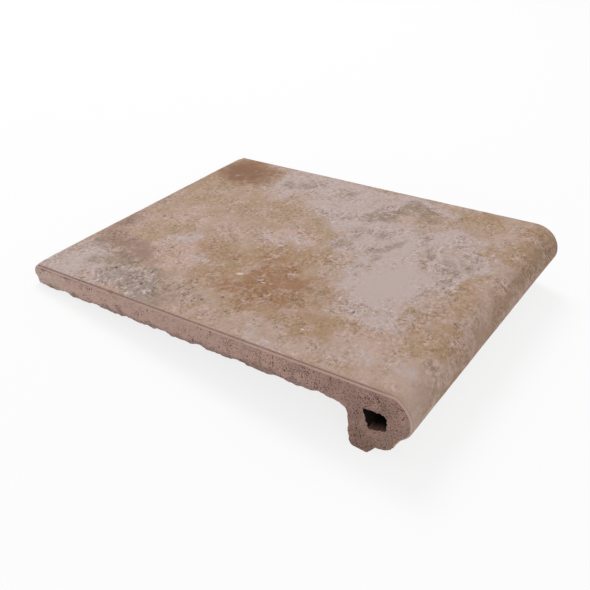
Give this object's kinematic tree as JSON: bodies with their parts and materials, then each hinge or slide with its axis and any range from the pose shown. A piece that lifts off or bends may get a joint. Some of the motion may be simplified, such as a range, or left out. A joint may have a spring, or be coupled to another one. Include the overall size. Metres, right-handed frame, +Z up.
{
  "type": "bullnose stair tread tile",
  "caption": "Extruded clay stair tread tile with a hollow bullnose nosing, drip lip and keyed underside.",
  "frame": {"origin": "on the floor, midway along the nosing and midway between the rear edge and the front, with the tile lying on its drip lip and rear edge", "axes": "+X along the nosing; +Y from the rear edge towards the nosing; +Z up"},
  "size_m": [0.25, 0.3094, 0.0492],
  "materials": {
    "fired_clay": "matte, rustic fired clay with flashed patches"
  },
  "bodies": {
    "root": {"bullnose_tread_tile": "fired_clay"}
  },
  "joints": []
}
